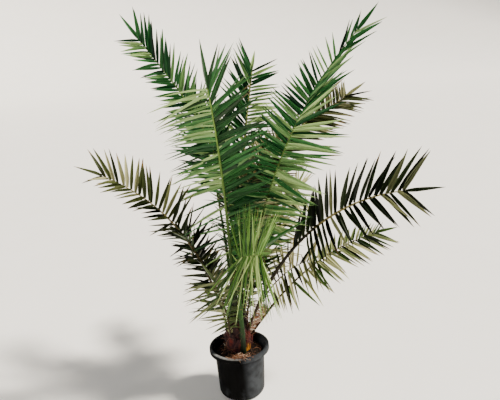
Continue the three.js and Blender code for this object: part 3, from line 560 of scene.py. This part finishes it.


# Fronds: a rib starts at its foot (distance from the axis, height), points to its heading, rises at its lift
# and falls by its arch, between the shares of its knee if it has one, and its roll turns the blade about it.
# Leaf is the longest leaflet, tip the share of it at the tip, and vee the leaflets' angle above the blade.
# Sides are seen along the rib from above, with the lean off the rib and the tone, 0 for a deep and 1 for a
# pale leaf, of the first and the last leaflet; the tones of the two sides also paint light and shade, paler
# on a side that catches the sun and deeper on one in shade. Broad lists single leaflets that stand out.
fronds = [
    {"name": "front_tall", "tint": "green", "heading": -97, "lift": 91, "arch": 33, "length": 1.135,
     "roll": 0, "foot": (0.028, 0.358), "bare": 0.25, "rib": 1.6, "leaf": 0.23, "tip": 1, "full": 0.6,
     "end": 0.2, "vee": 10, "spacing": 0.012, "width": 0.015, "spread": 1.2, "thinStep": 3,
     "thinWidth": 0.9, "thinSpread": 1.4,
     "left": {"lean": (72, 22), "power": 4, "width": 0.017, "tone": (0.53, 0.32), "toneSpread": 0.22},
     "right": {"lean": (106, 92), "power": 5, "full": 0.25, "thin": 0.42, "width": 0.0135, "droop": 0.14,
               "tone": (0.6, 0.86), "toneSpread": 0.38}},
    {"name": "right_high", "tint": "green", "heading": -15, "lift": 79, "arch": 32, "length": 1.4,
     "roll": 82, "foot": (0.026, 0.358), "rib": 1.25, "leaf": 0.248, "tip": 0.55, "full": 0.35,
     "taper": 0.6, "vee": 16, "spacing": 0.0118, "width": 0.0192, "spread": 1.4, "sparse": 0.8,
     "left": {"lean": (95, 22), "power": 3, "share": 0.7, "tone": (0.68, 0.48)},
     "right": {"lean": (72, 15), "turn": (0.59, 0.68), "full": 0.5, "tone": (0.92, 0.62)}},
    {"name": "left_high", "tint": "green", "heading": 165, "lift": 95.8, "arch": 41.8, "knee": (0.16, 0.93),
     "length": 1.368, "roll": -75, "foot": (0.028, 0.363), "rib": 1.5, "leaf": 0.156, "tip": 1,
     "end": 0.137, "vee": 15, "spacing": 0.0142, "width": 0.0175, "thinStep": 99,
     "left": {"lean": (85, 50), "power": 1, "share": 0.7, "thin": 0.36, "tone": (0.45, 0.55)},
     "right": {"lean": (70, 33), "power": 1.2, "thin": 0.26, "tone": (0.56, 0.47)}},
    {"name": "middle_tall", "tint": "green", "heading": 54, "lift": 84, "arch": 14, "length": 1.145,
     "roll": 40, "foot": (0.026, 0.363), "rib": 2.3, "ribTint": "straw", "leaf": 0.19, "tip": 0.9,
     "end": 0.085, "endTone": 0.95, "vee": 15, "spacing": 0.0152, "width": 0.017, "thinStep": 1,
     "left": {"lean": (60, 24), "power": 4, "thin": 0.45, "tone": (0.5, 0.42)},
     "right": {"lean": (88, 66), "share": 0.8, "tone": (0.72, 0.75)}},
    {"name": "left_low", "tint": "olive", "heading": -170, "lift": 79, "arch": 52, "length": 0.955,
     "roll": -58, "foot": (0.042, 0.321), "bare": 0.3, "rib": 1.4, "leaf": 0.195, "tip": 0.72, "full": 0.5,
     "vee": 28, "spacing": 0.0205, "width": 0.02, "thinStep": 1, "thinWidth": 0.8, "brown": 0.6,
     "left": {"lean": (60, 42), "share": 0.75, "thin": 0.5, "tone": (0.34, 0.62)},
     "right": {"lean": (74, 36), "thin": 0.45, "tone": (0.18, 0.72)}},
    {"name": "right_low", "tint": "dark", "heading": -18, "lift": 67.5, "arch": 61, "length": 1.04,
     "roll": 65, "foot": (0.045, 0.312), "bare": 0.42, "rib": 1.7, "leaf": 0.205, "tip": 1, "full": 0.3,
     "end": 0.15, "vee": 22, "spacing": 0.022, "width": 0.0205, "thinStep": 99, "brown": 0.15,
     "left": {"lean": (42, 54), "power": 1, "thin": 0.1, "tone": (0.3, 0.5)},
     "right": {"lean": (126, 46), "power": 1, "share": 0.85, "thin": 0.22, "tone": (0.32, 0.58)}},
    {"name": "front_bow", "tint": "young", "heading": -71.5, "lift": 90, "arch": 69, "knee": (0.424, 0.707),
     "length": 0.818, "roll": 85, "foot": (0.06, 0.223), "bare": 0.603, "girth": 1.5, "deep": 2.6,
     "sheath": 0, "leaf": 0.25, "tip": 0.9, "full": 0.1, "end": 0.12, "vee": 0, "spacing": 0.009,
     "width": 0.0105, "spread": 0.9, "toneSpread": 0.3,
     "broad": [
         {"share": 0.9, "lean": 82, "vee": -60, "length": 0.26, "width": 0.024, "tone": 0.32},
         {"share": 0.93, "lean": 78, "vee": -27, "length": 0.19, "width": 0.022, "tone": 0.56},
         {"share": 0.8, "lean": 84, "vee": -12, "length": 0.2, "width": 0.018, "tone": 0.55},
         # pale strands: their high tone is a painted highlight, the shine of the sun on them
         {"hand": -1, "share": 0.97, "lean": 84, "vee": -16, "length": 0.215, "width": 0.007, "tone": 1.3},
         {"hand": -1, "share": 0.94, "lean": 86, "vee": 4, "length": 0.19, "width": 0.007, "tone": 1.1},
         {"hand": -1, "share": 0.9, "lean": 88, "vee": 20, "length": 0.225, "width": 0.007, "tone": 1.2},
         {"hand": -1, "share": 0.86, "lean": 90, "vee": 34, "length": 0.24, "width": 0.007, "tone": 1.1},
     ],
     "left": {"lean": (88, 70), "share": 0.85, "vee": (8, -25), "droop": 0, "tone": (0.5, 0.58),
              "toneSpread": 0.2},
     "right": {"lean": (95, 76), "vee": (52, -14), "droop": 0.17, "tone": (0.53, 0.69)}},
    {"name": "right_back", "tint": "olive", "heading": 23, "lift": 92, "arch": 67.5, "knee": (0.21, 0.83),
     "length": 1.296, "roll": 55, "foot": (0.041, 0.343), "rib": 1.4, "leaf": 0.225, "tip": 0.6,
     "end": 0.12, "vee": 15, "spacing": 0.0095, "thinStep": 2, "brown": 0.5,
     "left": {"lean": (74, 60), "share": 0.6, "thin": 0.4, "tone": (0.95, 0.75)},
     "right": {"lean": (72, 42), "power": 1, "tone": (0.8, 0.5)}},
    {"name": "right_under", "tint": "sage", "heading": 6, "lift": 52.5, "arch": 43.4, "length": 0.78,
     "roll": 60, "foot": (0.05, 0.276), "bare": 0.28, "rib": 1.3, "leaf": 0.165, "tip": 0.75, "full": 0.3,
     "vee": 20, "spacing": 0.013, "width": 0.0165, "thinWidth": 1.1, "toneSpread": 0.28, "brown": 0.5,
     "left": {"lean": (70, 45), "share": 0.55, "thin": 0.4, "tone": (0.92, 0.5)},
     "right": {"lean": (100, 38), "power": 1.2, "thin": 0.4, "tone": (1.1, 0.44)}},
    {"name": "right_mid", "tint": "sage", "heading": 42, "lift": 74, "arch": 48, "length": 0.728,
     "roll": 45, "foot": (0.046, 0.312), "leaf": 0.19, "tip": 0.8, "vee": 20, "spacing": 0.0072,
     "width": 0.0125, "spread": 4, "toneSpread": 0.42, "brown": 0.7,
     "left": {"lean": (78, 40), "tone": (0.9, 0.92)},
     "right": {"lean": (45, 88), "power": 1.2, "tone": (0.9, 1.0)}},
    {"name": "back_tall", "tint": "green", "heading": 107, "lift": 82, "arch": 44, "length": 1.09,
     "roll": 0, "foot": (0.027, 0.36), "bare": 0.56, "leaf": 0.2, "tip": 0.7, "vee": 20, "spacing": 0.014,
     "left": {"lean": (78, 40), "tone": (0.5, 0.5)},
     "right": {"lean": (78, 40), "tone": (0.5, 0.5)}},
    {"name": "back_low", "tint": "dark", "heading": 90, "lift": 62, "arch": 54, "length": 0.88, "roll": 10,
     "foot": (0.048, 0.3), "bare": 0.3, "leaf": 0.16, "tip": 0.7, "vee": 20, "spacing": 0.014,
     "thinStep": 99,
     "left": {"lean": (78, 40), "share": 0.8, "thin": 0.5, "tone": (0.6, 0.6)},
     "right": {"lean": (78, 40), "tone": (0.5, 0.5)}},
    {"name": "back_right", "tint": "green", "heading": 66, "lift": 70, "arch": 50, "length": 0.905,
     "roll": 20, "foot": (0.046, 0.312), "leaf": 0.2, "tip": 0.7, "vee": 20, "spacing": 0.014,
     "thinStep": 1,
     "left": {"lean": (78, 40), "share": 0.6, "thin": 0.55, "tone": (0.68, 0.6)},
     "right": {"lean": (78, 40), "tone": (0.6, 0.6)}},
    {"name": "back_left", "tint": "dark", "heading": 130, "lift": 66, "arch": 50, "length": 0.54,
     "roll": -20, "foot": (0.045, 0.318), "leaf": 0.15, "tip": 0.8, "vee": 20, "spacing": 0.008,
     "width": 0.014, "spread": 3.5, "droop": 0.12,
     "left": {"lean": (78, 40), "tone": (1.0, 0.2)},
     "right": {"lean": (78, 40), "tone": (1.0, 0.1)}},
    {"name": "left_under", "tint": "olive", "heading": -125, "lift": 84, "arch": 24, "length": 0.36,
     "roll": 30, "foot": (0.052, 0.272), "bare": 0.2, "leaf": 0.175, "tip": 0.9, "vee": 5, "spacing": 0.012,
     "width": 0.0135, "spread": 2, "brown": 0.6,
     "left": {"lean": (80, 50), "share": 0.7, "tone": (0.6, 0.6)},
     "right": {"lean": (108, 88), "power": 1, "tone": (0.75, 0.6)}},
    {"name": "right_dry", "tint": "dry", "heading": 8, "lift": 67, "arch": 62, "length": 0.5, "roll": 60,
     "foot": (0.048, 0.302), "bare": 0.45, "leaf": 0.175, "tip": 1, "vee": 15, "spacing": 0.019,
     "width": 0.0135, "spread": 2.2, "toneSpread": 0.35, "brown": 0.8,
     "left": {"lean": (64, 40), "share": 0.9, "tone": (0.5, 0.6)},
     "right": {"lean": (115, 80), "tone": (0.45, 0.65)}},
]

# What a frond has unless its row says otherwise
plainFrond = {
    "bare": 0.14, "knee": None, "broad": [],  # bare is the share of the rib without leaflets
    "girth": 1, "deep": 1, "sheath": 0.9, "rib": 1,  # how stout the stalk, its sheath and the rib are
    "spacing": 0.0175, "width": 0.0175, "droop": 0.05, "spread": 1,  # spread is how unruly the leaflets are
    "full": 0.4, "taper": 0.3,  # shares of the blade from which they are full grown and get shorter
    "thinStep": 3, "thinWidth": 0.5, "thinSpread": 2.5,  # in a thin part all but every third are missing
    "sparse": 1.0,  # share of the blade beyond which every second one is missing
    "toneSpread": 0.22, "brown": 0.08,  # brown is the share of leaflets with dry tips
}

# What a side has: the power of the change in its lean or the shares it turns over, its share of the length
# and its thin share of the blade; the shared values are its frond's
plainSide = {"power": 2.2, "turn": None, "share": 1, "thin": 0}
sharedValues = ("full", "width", "toneSpread", "droop")

# What all fronds have in common
leafRule = {
    "bend": 1.6, "rollShare": 0.4, "bareLeast": 0.08, "stations": 160,  # run of the rib
    "ribWidth": (0.021, 0.010, 0.003), "ribDepth": (0.012, 0.008, 0.003),  # at foot, first leaflets and tip
    "fullLength": 1.4, "girthLeast": 0.55, "stoutFrom": (0.02, 0.2), "flare": 0.045, "flareDepth": 0.4,
    "ribRings": 72, "ribSides": 12, "ribAbove": 0.75, "ribBelow": 1.1, "ribSharp": 60,
    "stagger": 0.12, "jitter": 0.2, "cluster": 4, "loose": 0.7,  # order of the leaflets
    "leanSpread": 5, "veeSpread": 9, "twistSpread": 16,  # degrees
    "shortest": 0.35, "lengthSpread": 0.09, "endShare": 0.85, "endLean": 1.0, "endWidth": 0.0175,
    "widthByLength": (0.55, 0.45), "widthSpread": (0.8, 1.15), "sparseWidth": 0.75,
    "seat": 0.36, "forward": 0.06, "sagSpread": 0.025, "fold": (0.45, 1.1), "keel": 0.0014,  # place and bend
    "thinTone": 0.2, "dryness": (0.4, 1), "leafSharp": 25, "seed": 23,
}

# Spines of the stalk
spines = {
    "pairs": 5, "length": (0.018, 0.05), "along": (0.5, 0.95), "lean": (40, 65), "vee": (15, 50),
    "width": 0.006, "tone": 0.9,
}


# How much of a change is done at a share of the way: smoothly over two shares, or by a power
def changed(share, over, power):
    return smoothStep(share, *over) if over else share ** power


# Run of a rib: its rise falls from lift by arch times the change along it, and its points are the running
# sum of those directions. Side and up stand square to it, turned by the roll.
def ribPath(frond, rule, count):
    share = np.linspace(0, 1, count)
    rise = np.radians(frond["lift"] - frond["arch"] * changed(share, frond["knee"], rule["bend"]))
    heading = np.radians(frond["heading"])
    away = np.array([np.cos(heading), np.sin(heading), 0])
    along = away * np.cos(rise)[:, None] + np.array([0, 0, 1]) * np.sin(rise)[:, None]
    steps = (along[1:] + along[:-1]) / 2 * frond["length"] / (count - 1)
    out, height = frond["foot"]
    at = away * out + np.array([0, 0, height]) + np.vstack([np.zeros(3), np.cumsum(steps, 0)])
    roll = np.radians(frond["roll"] * np.minimum(1, share / rule["rollShare"]))[:, None]
    level = np.array([-np.sin(heading), np.cos(heading), 0])
    upper = np.cross(along, level)
    side = level * np.cos(roll) + upper * np.sin(roll)
    up = upper * np.cos(roll) - level * np.sin(roll)
    return {"share": share, "at": at, "along": along, "side": side, "up": up}


# Values of a path between its stations, each column read off by straight lines
def readPath(path, key, share):
    return np.stack([np.interp(share, path["share"], path[key][:, axis]) for axis in range(3)], -1)


# Share of a rib that bears no leaflets, never shorter than the least stalk
def bareShare(frond, rule):
    return max(frond["bare"] * frond["length"], rule["bareLeast"]) / frond["length"]


# Width and depth of a rib: they fall from foot to first leaflets and on to the tip, and the foot flares
# into a sheath
def ribSection(frond, rule, share):
    girth = rule["girthLeast"] + (1 - rule["girthLeast"]) * frond["length"] / rule["fullLength"]
    knots = [0, bareShare(frond, rule), 1]
    flare = np.exp(-share * frond["length"] / rule["flare"])
    stalk = np.maximum(0, 1 - share / knots[1])
    stout = 1 + (frond["girth"] - 1) * stalk
    stout *= 1 + (frond["rib"] - 1) * smoothStep(share * frond["length"], *rule["stoutFrom"])
    deep = 1 + (frond["deep"] - 1) * stalk
    width = girth * np.interp(share, knots, rule["ribWidth"]) * (1 + frond["sheath"] * flare) * stout
    flared = 1 + rule["flareDepth"] * flare
    depth = girth * np.interp(share, knots, rule["ribDepth"]) * flared * stout * deep
    return width, depth


# Rib: a section with a round back and a flatter upper side, carried along the path and shrinking to the tip
def buildRib(frond, rule):
    path = ribPath(frond, rule, rule["ribRings"])
    width, depth = ribSection(frond, rule, path["share"])
    angle = np.linspace(0, 2 * np.pi, rule["ribSides"], endpoint=False)
    arc = np.sin(angle) * np.where(np.sin(angle) > 0, rule["ribAbove"], rule["ribBelow"])
    across = np.cos(angle)[None, :, None] * (width / 2)[:, None, None]
    above = arc[None, :, None] * (depth / 2)[:, None, None]
    rings = path["at"][:, None] + path["side"][:, None] * across + path["up"][:, None] * above
    shape = tubes(rings[None])
    along = np.repeat(path["share"] * frond["length"], rule["ribSides"])
    shape["marks"] = {"along": ("POINT", np.concatenate([along, [0, frond["length"]]]))}
    return shape


# One side of a frond: leaflets at even shares of the blade. Their lean off the rib and vee above the blade
# change along it, and their length grows from the first leaflets and tapers to the tip. In the thin part
# they have their own width and are less orderly, and beyond sparse they are slimmer.
def sideLeaflets(frond, rule, hand, rng):
    side = plainSide | {key: frond[key] for key in sharedValues} | {"vee": (frond["vee"], frond["vee"])}
    side = side | frond["left" if hand > 0 else "right"]
    bare = bareShare(frond, rule)
    pairs = round((1 - bare) * frond["length"] / frond["spacing"])
    order = np.arange(pairs)
    jitter = rng.uniform(-rule["jitter"], rule["jitter"], pairs)
    place = (order + 0.5 + rule["stagger"] * hand + jitter) / pairs
    thin, late = place < side["thin"], place > frond["sparse"]
    kept = (~thin | (order % frond["thinStep"] == 0)) & (~late | (order % 2 == 0))
    place, thin, late = place[kept], thin[kept], late[kept]
    count = len(place)
    lean = between(side["lean"], changed(place, side["turn"], side["power"]))
    vee = between(side["vee"], place)
    # the tone also carries the painted light and shade of this side
    tone = between(side["tone"], place) - rule["thinTone"] * thin
    grow = np.sin(np.pi / 2 * np.minimum(1, place / side["full"]))
    taper = (1 - frond["tip"]) * np.maximum(0, place - frond["taper"]) / (1 - frond["taper"])
    length = frond["leaf"] * side["share"] * (rule["shortest"] + (1 - rule["shortest"]) * grow) * (1 - taper)
    length *= 1 + rule["lengthSpread"] * rng.uniform(-1, 0.6, count)
    bunch = rng.normal(size=(2, pairs)).repeat(rule["cluster"], 1)[:, :pairs][:, kept]
    loose = rule["loose"] * frond["spread"] * np.where(thin, frond["thinSpread"], 1)
    least, more = rule["widthByLength"]
    width = side["width"] * (least + more * length / frond["leaf"])
    width *= rng.uniform(*rule["widthSpread"], count) * np.where(late, rule["sparseWidth"], 1)
    return {
        "hand": np.full(count, hand), "share": bare + (1 - bare) * place, "length": length,
        "lean": lean + rule["leanSpread"] * (rng.normal(size=count) + bunch[0]) * loose,
        "vee": vee + rule["veeSpread"] * (rng.normal(size=count) + bunch[1]) * loose,
        "width": width * np.where(thin, frond["thinWidth"], 1),
        "tone": tone + side["toneSpread"] * rng.normal(size=count),
        "droop": np.full(count, side["droop"]),
    }


# Spines: short stiff leaflets in pairs on the upper half of the stalk, longer towards the blade
def stalkSpines(frond, rule, s, rng):
    pairs, count = s["pairs"], 2 * s["pairs"]
    return {
        "hand": np.tile([1.0, -1.0], pairs), "length": np.repeat(np.linspace(*s["length"], pairs), 2),
        "share": bareShare(frond, rule) * np.repeat(np.linspace(*s["along"], pairs), 2),
        "lean": rng.uniform(*s["lean"], count), "vee": rng.uniform(*s["vee"], count),
        "width": np.full(count, s["width"]), "tone": np.full(count, s["tone"]), "droop": np.zeros(count),
    }


# Leaflets that stand out from the rest by their breadth, or by a pale tone that paints a highlight on
# them, each with its own place and way off the rib, on its left unless the row says otherwise
def broadLeaflets(frond):
    rows = frond["broad"]
    keys = ("share", "lean", "vee", "length", "width", "tone")
    leaf = {key: np.array([row[key] for row in rows]) for key in keys}
    hand = np.array([row.get("hand", 1.0) for row in rows])
    return leaf | {"hand": hand, "droop": np.zeros(len(rows))}


# The leaflet that carries on from the end of the rib
def endLeaflet(frond, rule):
    length = frond.get("end", rule["endShare"] * frond["leaf"] * frond["tip"])
    tone = frond.get("endTone", frond["left"]["tone"][1])
    values = {"hand": 1.0, "share": 1.0, "length": length, "lean": rule["endLean"], "vee": 0.0,
              "width": rule["endWidth"], "tone": tone, "droop": 0.0}
    return {key: np.array([value]) for key, value in values.items()}


# Leaflets of a frond: both sides, spines and end leaflet as one set of blades. A leaflet's way is the rib's
# direction turned off to its side by the lean and up by the vee, and its face is square to the rib and that
# way.
def buildLeaflets(frond, rule, rng):
    path = ribPath(frond, rule, rule["stations"])
    sets = [sideLeaflets(frond, rule, hand, rng) for hand in (1.0, -1.0)]
    sets += [stalkSpines(frond, rule, spines, rng), broadLeaflets(frond), endLeaflet(frond, rule)]
    leaf = {key: np.concatenate([rows[key] for rows in sets]) for key in sets[0]}
    count = len(leaf["hand"])
    along, side, up = (unit(readPath(path, key, leaf["share"])) for key in ("along", "side", "up"))
    lean, vee, hand = (leaf[key][:, None] for key in ("lean", "vee", "hand"))
    lean, vee = np.radians(lean), np.radians(vee)
    way = unit(along * np.cos(lean) + np.sin(lean) * (hand * side * np.cos(vee) + up * np.sin(vee)))
    ribWidth, _ = ribSection(frond, rule, leaf["share"])
    start = readPath(path, "at", leaf["share"]) + hand * side * (ribWidth * rule["seat"])[:, None]
    start[-1] = path["at"][-1]
    normal = unit(np.cross(along, way) * hand)
    twist = np.radians(rule["twistSpread"] * rng.normal(size=count))[:, None]
    normal = normal * np.cos(twist) + np.cross(way, normal) * np.sin(twist)
    forward = along * rng.uniform(0.0, rule["forward"], (count, 1))
    sag = forward + rng.normal(size=(count, 3)) * rule["sagSpread"]
    sag[:, 2] -= leaf["droop"]
    fold, keel = rng.uniform(*rule["fold"], count), np.full(count, rule["keel"])
    shape = blades(start, way, normal, leaf["length"], leaf["width"], sag, fold, keel)
    dry = rng.uniform(0, 1, count) < frond["brown"]
    dealOut(shape, "tone", np.clip(leaf["tone"], 0, 1))
    dealOut(shape, "brown", dry * rng.uniform(*rule["dryness"], count))
    return shape


# Palm leaf: a tough blade with a waxy skin, so it is matt with a soft shine, streaked along its veins,
# greyer below, paler or deeper by its age and by painted light and shade, and brown where the tip has dried
leafTints = {
    "green": {"slot": "leaf_green", "rib": "green",
              "stops": [(0.0, "#04150e"), (0.35, "#0e371b"), (0.65, "#2e6532"), (1.0, "#a0bb78")]},
    "young": {"slot": "leaf_green", "rib": "young",
              "stops": [(0.0, "#061a0c"), (0.35, "#1b4416"), (0.65, "#597f30"), (1.0, "#b6cb80")]},
    # dark: the leaf painted deeper, as painted shade for fronds that lie in shade
    "dark": {"slot": "leaf_dark", "rib": "umber",
             "stops": [(0.0, "#020402"), (0.35, "#080e06"), (0.65, "#232d18"), (1.0, "#7d7f58")]},
    "olive": {"slot": "leaf_olive", "rib": "tan",
              "stops": [(0.0, "#060804"), (0.35, "#19210d"), (0.65, "#3f4622"), (1.0, "#9a9870")]},
    "sage": {"slot": "leaf_olive", "rib": "tan",
             "stops": [(0.0, "#081006"), (0.35, "#1f3114"), (0.65, "#4c6630"), (1.0, "#b6b687")]},
    "dry": {"slot": "leaf_dry", "rib": "tan",
            "stops": [(0.0, "#12150a"), (0.35, "#30361a"), (0.65, "#676a40"), (1.0, "#b0a982")]},
}
leafFinish = {
    "roughness": 0.42, "specular": 0.13, "brown": "#7a5a38", "dryFrom": (0.72, 0.95), "grey": "#455f38",
    "greyShare": 0.22, "halfWidthMm": 8, "veinMm": 1.6, "veinShift": (0.36, -0.18), "unlike": 60.0,
    "bump": {"Strength": 0.15, "Distance": 0.001},
}


def palmLeaf(name, tint, finish):
    fixed = {"Roughness": finish["roughness"], "Specular IOR Level": finish["specular"]}
    material, tree, shader = startMaterial(name, fixed)
    marks = ("tone", "along", "edge", "under", "brown")
    sources = [addNode(tree, "Attribute", attribute_name=key).outputs["Fac"] for key in marks]
    tone, along, edge, under, brown = sources
    # veins: noise far finer across the blade than along it, drawn coarser than the real 1 mm so that it
    # shows, and unlike on leaflets of another tone
    apart = addNode(tree, "Math", (tone, finish["unlike"]), operation="MULTIPLY")
    grid = addNode(tree, "CombineXYZ", (edge, along, apart))
    texture = {"Vector": grid, "Scale": finish["halfWidthMm"] / finish["veinMm"], "Detail": 3.0}
    vein = addNode(tree, "TexNoise", texture)
    shift = addNode(tree, "Math", (vein, *finish["veinShift"]), operation="MULTIPLY_ADD")
    level = addNode(tree, "Math", (tone, shift), operation="ADD")
    colour = addNode(tree, "ValToRGB", (level,), tint["stops"])
    greyed = addNode(tree, "Math", (under, finish["greyShare"]), operation="MULTIPLY")
    grey, dry = linear(finish["grey"]), linear(finish["brown"])
    lower = addNode(tree, "Mix", {0: greyed, 6: colour, 7: grey}, data_type="RGBA").outputs[2]
    end = addNode(tree, "MapRange", (along, *finish["dryFrom"]), interpolation_type="SMOOTHSTEP")
    dried = addNode(tree, "Math", (end, brown), operation="MULTIPLY")
    tipped = addNode(tree, "Mix", {0: dried, 6: lower, 7: dry}, data_type="RGBA").outputs[2]
    bump = addNode(tree, "Bump", finish["bump"] | {"Height": vein})
    plug(tree, shader, {"Base Color": tipped, "Normal": bump})
    return material


# Palm rib: a smooth fibrous stalk with a waxy shine, brown and scaly at its sheath, then green or tan; the
# stops are metres along it
ribTints = {
    "green": [(0.0, "#1c0a08"), (0.08, "#191a09"), (0.25, "#203a11"), (1.0, "#5f7a34")],
    # young: darker near its foot, painted shade low on the stalk under the crown
    "young": [(0.0, "#0b1206"), (0.08, "#0f200a"), (0.25, "#234516"), (1.0, "#66782c")],
    "straw": [(0.0, "#1c0a08"), (0.08, "#191a09"), (0.3, "#2f4017"), (0.75, "#6f7836"), (1.0, "#a5a862")],
    "umber": [(0.0, "#260f0a"), (0.12, "#2e2412"), (0.5, "#14110a"), (0.6, "#1c180d"), (0.68, "#7b6f42"),
              (1.0, "#a1945c")],
    "tan": [(0.0, "#260f0a"), (0.12, "#2e2412"), (0.45, "#3f371b"), (0.68, "#746640"), (1.0, "#978858")],
}
ribFinish = {
    "roughness": 0.42, "specular": 0.15, "mottleMm": 16.5, "wander": (0.2, -0.1),
    "bump": {"Strength": 0.2, "Distance": 0.001},
}


def palmRib(name, stops, finish):
    fixed = {"Roughness": finish["roughness"], "Specular IOR Level": finish["specular"]}
    material, tree, shader = startMaterial(name, fixed)
    along = addNode(tree, "Attribute", attribute_name="along").outputs["Fac"]
    place = addNode(tree, "TexCoord").outputs["Object"]
    texture = {"Vector": place, "Scale": noiseScale(finish["mottleMm"]), "Detail": 4.0}
    mottle = addNode(tree, "TexNoise", texture)
    wander = addNode(tree, "Math", (mottle, *finish["wander"]), operation="MULTIPLY_ADD")
    level = addNode(tree, "Math", (along, wander), operation="ADD")
    colour = addNode(tree, "ValToRGB", (level,), stops)
    bump = addNode(tree, "Bump", finish["bump"] | {"Height": mottle})
    plug(tree, shader, {"Base Color": colour, "Normal": bump})
    return material


leafMaterials = {key: palmLeaf(key + "PalmLeaf", tint, leafFinish) for key, tint in leafTints.items()}
ribMaterials = {key: palmRib(key + "PalmRib", stops, ribFinish) for key, stops in ribTints.items()}
for order, row in enumerate(fronds):
    frond = plainFrond | row
    rng = np.random.default_rng(leafRule["seed"] + order)
    tint = leafTints[frond["tint"]]
    node = "frond_" + frond["name"]
    leafMaterial, ribMaterial = leafMaterials[frond["tint"]], ribMaterials[frond.get("ribTint", tint["rib"])]
    leaflets = buildLeaflets(frond, leafRule, rng)
    addPiece("leaflets_" + frond["name"], leaflets, leafMaterial, [node], leafRule["leafSharp"])
    rib = buildRib(frond, leafRule)
    addPiece("rib_" + frond["name"], rib, ribMaterial, [node], leafRule["ribSharp"])
print("fronds grown:", len(fronds))


# Floor and light: a plain pale floor that sweeps up all round, a sun from high on the right, and a weak fill
studio = {
    "floor": "#fbfaf8", "floorPale": "#fdfcfb", "floorInner": (0.5, 3.0), "floorRadius": 16.0, "sweep": 6.0,
    "wall": 0.3, "sides": 96, "cloudMm": 330, "world": "#ffffff", "worldStrength": 0.22,
    "key": {"heading": -8, "height": 48, "away": 4, "strength": 9.0, "spread": 9, "colour": "#fff6e6"},
    "fill": {"from": (-0.8, -4.2, 2.6), "aim": (0.0, 0.0, 0.85), "size": 2.5, "power": 45},
}


# Floor profile: flat out to its radius, a quarter round and a short wall, turned about Z with an open top
def buildFloor(s):
    flat, edge = s["floorRadius"], s["floorRadius"] + s["sweep"]
    bend = quarter((flat, 0), (edge, s["sweep"]), (1, 0), 16)
    middle = [[radius, 0] for radius in s["floorInner"]]
    rings = turned(np.vstack([middle, bend, [[edge, s["sweep"] + s["wall"]]]]), s["sides"])
    grid, _, quads = ringGrid(*rings.shape[:3])
    faces = np.roll(quads[:, ::-1], 1, 1).tolist()  # the other way round, to face the middle
    mesh = bpy.data.meshes.new("floor")
    mesh.from_pydata(rings.reshape(-1, 3), [], faces + [grid[0, 0].tolist()])
    mesh.polygons.foreach_set("use_smooth", np.ones(len(mesh.polygons), bool))
    material, tree, shader = startMaterial("palePaintedFloor", {"Roughness": 0.9, "Specular IOR Level": 0.1})
    place = addNode(tree, "TexCoord").outputs["Object"]
    cloud = addNode(tree, "TexNoise", {"Vector": place, "Scale": noiseScale(s["cloudMm"])})
    colour = addNode(tree, "ValToRGB", (cloud,), [(0.3, s["floor"]), (0.7, s["floorPale"])])
    plug(tree, shader, {"Base Color": colour})
    mesh.materials.append(material)
    floor = bpy.data.objects.new("floor", mesh)
    bpy.context.scene.collection.objects.link(floor)


# Stands a lamp at a place and turns its back away from the aim
def placeLamp(light, place, aim):
    lamp = bpy.data.objects.new(light.name, light)
    back = unit(place - aim)
    right = unit(np.cross([0, 0, 1], back))
    up = np.cross(back, right)
    lamp.matrix_world = Matrix(np.vstack([np.column_stack([right, up, back, place]), [0, 0, 0, 1]]).tolist())
    bpy.context.scene.collection.objects.link(lamp)


# World of one pale colour, a wide sun by heading and height, and a round lamp from the front
def lightStudio(s):
    world = bpy.data.worlds.new("studioWorld")
    world.use_nodes = True
    backdrop = {"Color": linear(s["world"]), "Strength": s["worldStrength"]}
    plug(world.node_tree, world.node_tree.nodes["Background"], backdrop)
    bpy.context.scene.world = world
    key, fill = s["key"], s["fill"]
    heading, height = np.radians(key["heading"]), np.radians(key["height"])
    toSun = np.array([np.cos(heading) * np.cos(height), np.sin(heading) * np.cos(height), np.sin(height)])
    sun = bpy.data.lights.new("key", "SUN")
    sun.energy = key["strength"]
    sun.angle = np.radians(key["spread"])
    sun.color = linear(key["colour"])[:3]
    placeLamp(sun, key["away"] * toSun, np.zeros(3))
    front = bpy.data.lights.new("front", "AREA")
    front.shape = "DISK"
    front.size = fill["size"]
    front.energy = fill["power"]
    placeLamp(front, np.array(fill["from"]), np.array(fill["aim"]))


buildFloor(studio)
lightStudio(studio)
print("studio lit")
